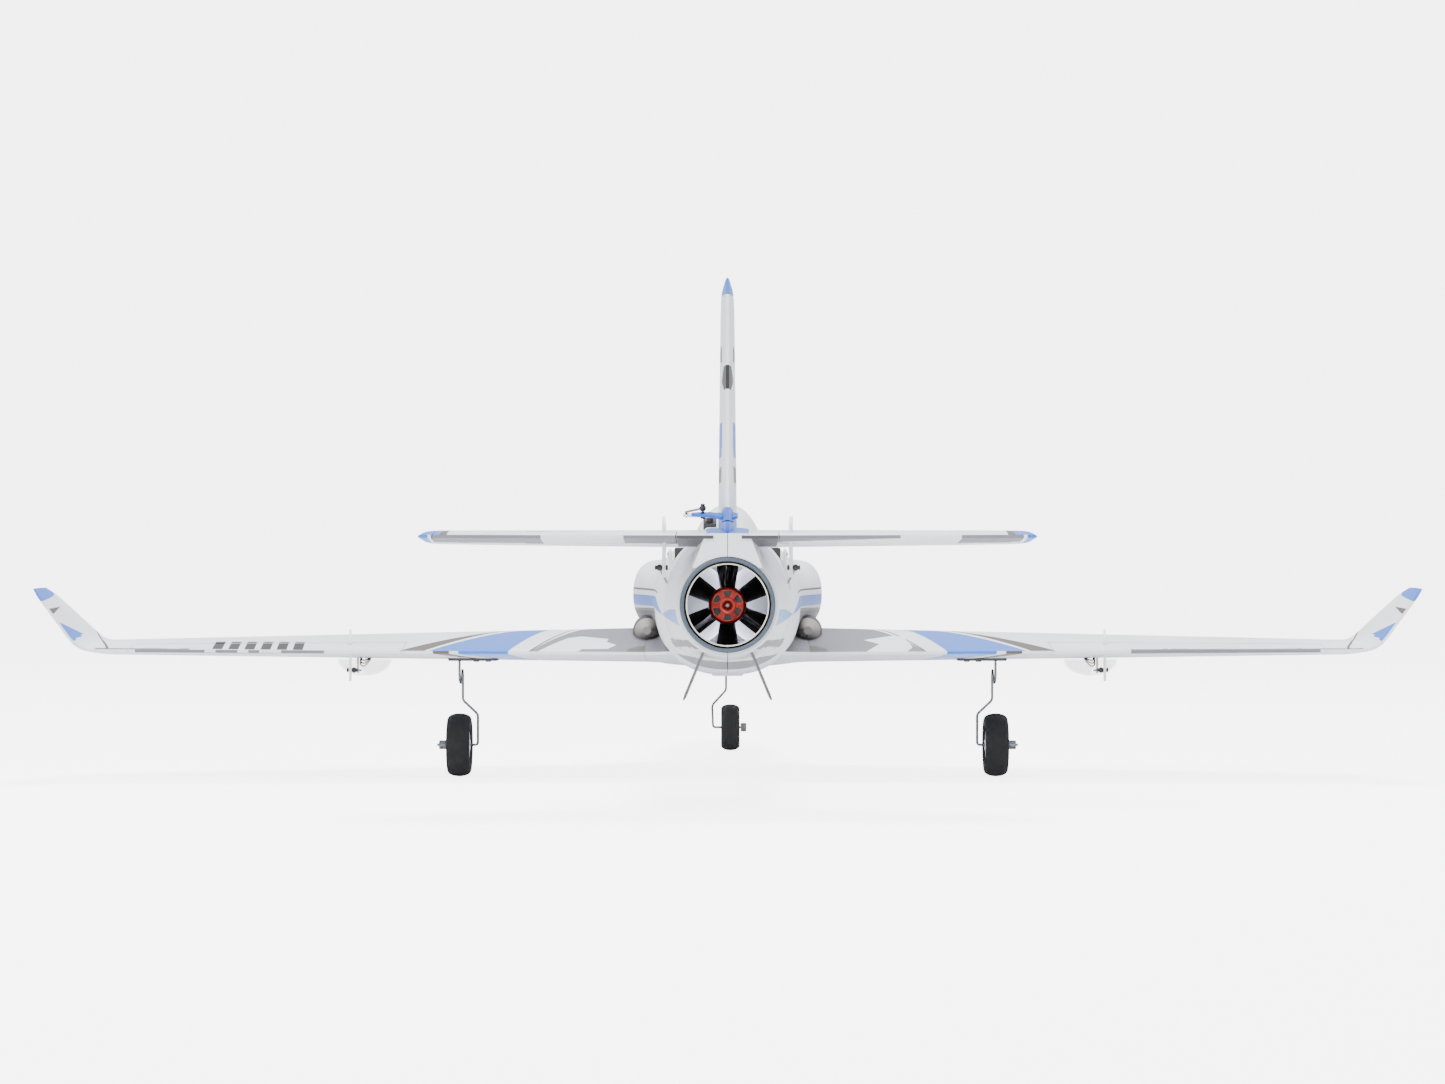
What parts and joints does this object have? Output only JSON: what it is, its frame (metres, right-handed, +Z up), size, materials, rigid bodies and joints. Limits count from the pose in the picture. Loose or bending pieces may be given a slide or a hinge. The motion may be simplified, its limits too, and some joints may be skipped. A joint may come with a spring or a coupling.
{
  "type": "rc foam ducted-fan jet airplane",
  "caption": "White foam ducted-fan model jet with blue and grey graphics, swept winglets, wire tricycle gear, lift-off hatch and working control surfaces.",
  "frame": {"origin": "on the ground under the middle of the box; the wheels stand on Z = 0", "axes": "+X to starboard, +Y forward to the nose, +Z up"},
  "size_m": [1.0222, 1.14, 0.34],
  "materials": {
    "foam_white": "satin",
    "canopy_smoke": "gloss",
    "nozzle_slate": "satin",
    "tube_white": "satin",
    "carbon_black": "satin",
    "fan_black": "satin",
    "housing_grey": "satin",
    "motor_red": "satin",
    "horn_white": "satin",
    "horn_blue": "satin",
    "rod_black": "satin",
    "servo_black": "satin",
    "arm_white": "satin",
    "dome_clear": "gloss",
    "wire_steel": "satin",
    "mount_black": "satin",
    "mount_white": "satin",
    "tyre_black": "matte",
    "hub_white": "satin",
    "battery_blue": "satin",
    "esc_black": "satin",
    "receiver_red": "satin",
    "ventral_grey": "satin"
  },
  "bodies": {
    "airframe": {"aileron_servo_left": "servo_black", "aileron_servo_right": "servo_black", "battery": "battery_blue", "elevator_servo_left": "servo_black", "elevator_servo_right": "servo_black", "esc": "esc_black", "fan_housing": "housing_grey", "fin": "foam_white", "fuselage_left": "foam_white", "fuselage_right": "foam_white", "main_gear_mount_left": "mount_black", "main_gear_mount_right": "mount_black", "main_strut_left": "wire_steel", "main_strut_right": "wire_steel", "nose_cone": "foam_white", "nose_gear_mount": "mount_white", "nozzle_ring": "nozzle_slate", "receiver": "receiver_red", "rudder_servo": "servo_black", "servo_dome_left": "dome_clear", "servo_dome_right": "dome_clear", "stab_left": "foam_white", "stab_right": "foam_white", "thrust_tube": "tube_white", "ventral_fin_left": "ventral_grey", "ventral_fin_right": "ventral_grey", "wing_left": "foam_white", "wing_right": "foam_white", "wing_tube": "carbon_black"},
    "fan": {"fan_rotor": "fan_black", "motor": "motor_red"},
    "hatch": {"hatch": "foam_white", "canopy": "canopy_smoke"},
    "aileron_left": {"aileron_left": "foam_white", "aileron_left_horn": "horn_white"},
    "elevator_left": {"elevator_left": "foam_white", "elevator_left_horn": "horn_white"},
    "aileron_left_pushrod": {"aileron_left_pushrod": "rod_black"},
    "aileron_left_servo_arm": {"aileron_left_servo_arm": "arm_white"},
    "elevator_left_pushrod": {"elevator_left_pushrod": "rod_black"},
    "elevator_left_servo_arm": {"elevator_left_servo_arm": "arm_white"},
    "main_wheel_left": {"main_tyre_left": "tyre_black", "main_hub_left": "hub_white"},
    "aileron_right": {"aileron_right": "foam_white", "aileron_right_horn": "horn_white"},
    "elevator_right": {"elevator_right": "foam_white", "elevator_right_horn": "horn_white"},
    "aileron_right_pushrod": {"aileron_right_pushrod": "rod_black"},
    "aileron_right_servo_arm": {"aileron_right_servo_arm": "arm_white"},
    "elevator_right_pushrod": {"elevator_right_pushrod": "rod_black"},
    "elevator_right_servo_arm": {"elevator_right_servo_arm": "arm_white"},
    "main_wheel_right": {"main_tyre_right": "tyre_black", "main_hub_right": "hub_white"},
    "rudder": {"rudder": "foam_white", "rudder_horn": "horn_blue"},
    "rudder_pushrod": {"rudder_pushrod": "rod_black"},
    "rudder_servo_arm": {"rudder_servo_arm": "arm_white"},
    "nose_leg": {"nose_strut": "wire_steel"},
    "nose_wheel": {"nose_tyre": "tyre_black", "nose_hub": "hub_white"}
  },
  "joints": [
    {"name": "fan_spin", "type": "hinge", "parent": "airframe", "child": "fan", "pos_m": [0, -0.1685, 0.1323], "axis": [0, 1, 0], "continuous": true},
    {"name": "hatch_lift", "type": "slide", "parent": "airframe", "child": "hatch", "axis": [0, 0, 1], "range_m": [0, 0.12]},
    {"name": "aileron_left_hinge", "type": "hinge", "parent": "airframe", "child": "aileron_left", "pos_m": [-0.445, -0.12813, 0.09882], "axis": [0.997, 0.0771, -0.0035], "range_deg": [-22, 22]},
    {"name": "aileron_left_servo", "type": "hinge", "parent": "airframe", "child": "aileron_left_servo_arm", "pos_m": [-0.2831, -0.06577, 0.09676], "axis": [0.997, 0.0771, -0.0035], "range_deg": [-22, 22]},
    {"name": "aileron_left_link", "type": "hinge", "parent": "aileron_left", "child": "aileron_left_pushrod", "pos_m": [-0.28506, -0.11577, 0.08276], "axis": [0.997, 0.0771, -0.0035], "range_deg": [-22, 22]},
    {"name": "aileron_right_hinge", "type": "hinge", "parent": "airframe", "child": "aileron_right", "pos_m": [0.243, -0.11252, 0.09811], "axis": [0.997, -0.0771, 0.0035], "range_deg": [-22, 22]},
    {"name": "aileron_right_servo", "type": "hinge", "parent": "airframe", "child": "aileron_right_servo_arm", "pos_m": [0.2831, -0.06577, 0.09676], "axis": [0.997, -0.0771, 0.0035], "range_deg": [-22, 22]},
    {"name": "aileron_right_link", "type": "hinge", "parent": "aileron_right", "child": "aileron_right_pushrod", "pos_m": [0.28506, -0.11577, 0.08276], "axis": [0.997, -0.0771, 0.0035], "range_deg": [-22, 22]},
    {"name": "elevator_left_hinge", "type": "hinge", "parent": "airframe", "child": "elevator_left", "pos_m": [-0.186, -0.5266, 0.17797], "axis": [0.9951, 0.0986, -0.0018], "range_deg": [-22, 22]},
    {"name": "elevator_left_servo", "type": "hinge", "parent": "airframe", "child": "elevator_left_servo_arm", "pos_m": [-0.0378, -0.36624, 0.1682], "axis": [0.9951, 0.0986, -0.0018], "range_deg": [-22, 22]},
    {"name": "elevator_left_link", "type": "hinge", "parent": "elevator_left", "child": "elevator_left_pushrod", "pos_m": [-0.04104, -0.51224, 0.1584], "axis": [0.9951, 0.0986, -0.0018], "range_deg": [-22, 22]},
    {"name": "elevator_right_hinge", "type": "hinge", "parent": "airframe", "child": "elevator_right", "pos_m": [0.033, -0.51145, 0.17769], "axis": [0.9951, -0.0986, 0.0018], "range_deg": [-22, 22]},
    {"name": "elevator_right_servo", "type": "hinge", "parent": "airframe", "child": "elevator_right_servo_arm", "pos_m": [0.0378, -0.36624, 0.1682], "axis": [0.9951, -0.0986, 0.0018], "range_deg": [-22, 22]},
    {"name": "elevator_right_link", "type": "hinge", "parent": "elevator_right", "child": "elevator_right_pushrod", "pos_m": [0.04104, -0.51224, 0.1584], "axis": [0.9951, -0.0986, 0.0018], "range_deg": [-22, 22]},
    {"name": "rudder_hinge", "type": "hinge", "parent": "airframe", "child": "rudder", "pos_m": [0, -0.49729, 0.1885], "axis": [0, -0.2531, 0.9674], "range_deg": [-25, 25]},
    {"name": "rudder_servo", "type": "hinge", "parent": "airframe", "child": "rudder_servo_arm", "pos_m": [-0.012, -0.37643, 0.19335], "axis": [0, -0.2531, 0.9674], "range_deg": [-25, 25]},
    {"name": "rudder_link", "type": "hinge", "parent": "rudder", "child": "rudder_pushrod", "pos_m": [-0.016, -0.49843, 0.19285], "axis": [0, -0.2531, 0.9674], "range_deg": [-25, 25]},
    {"name": "nose_steer", "type": "hinge", "parent": "airframe", "child": "nose_leg", "pos_m": [-0.0013, 0.35, 0.02045], "axis": [0, 0, 1], "range_deg": [-25, 25]},
    {"name": "nose_wheel_spin", "type": "hinge", "parent": "nose_leg", "child": "nose_wheel", "pos_m": [0.0025, 0.35, 0.02045], "axis": [1, 0, 0], "continuous": true},
    {"name": "main_wheel_right_spin", "type": "hinge", "parent": "airframe", "child": "main_wheel_right", "pos_m": [0.206, -0.07, 0.0242], "axis": [1, 0, 0], "continuous": true},
    {"name": "main_wheel_left_spin", "type": "hinge", "parent": "airframe", "child": "main_wheel_left", "pos_m": [-0.206, -0.07, 0.0242], "axis": [1, 0, 0], "continuous": true}
  ],
  "couplings": [
    {"joint": "aileron_left_servo", "follows": "aileron_left_hinge", "ratio": 1},
    {"joint": "aileron_left_link", "follows": "aileron_left_hinge", "ratio": -1},
    {"joint": "aileron_right_hinge", "follows": "aileron_left_hinge", "ratio": -1},
    {"joint": "aileron_right_servo", "follows": "aileron_left_hinge", "ratio": -1},
    {"joint": "aileron_right_link", "follows": "aileron_left_hinge", "ratio": 1},
    {"joint": "elevator_left_servo", "follows": "elevator_left_hinge", "ratio": 1},
    {"joint": "elevator_left_link", "follows": "elevator_left_hinge", "ratio": -1},
    {"joint": "elevator_right_hinge", "follows": "elevator_left_hinge", "ratio": 1},
    {"joint": "elevator_right_servo", "follows": "elevator_left_hinge", "ratio": 1},
    {"joint": "elevator_right_link", "follows": "elevator_left_hinge", "ratio": -1},
    {"joint": "rudder_servo", "follows": "rudder_hinge", "ratio": 1},
    {"joint": "rudder_link", "follows": "rudder_hinge", "ratio": -1},
    {"joint": "nose_steer", "follows": "rudder_hinge", "ratio": -1}
  ]
}
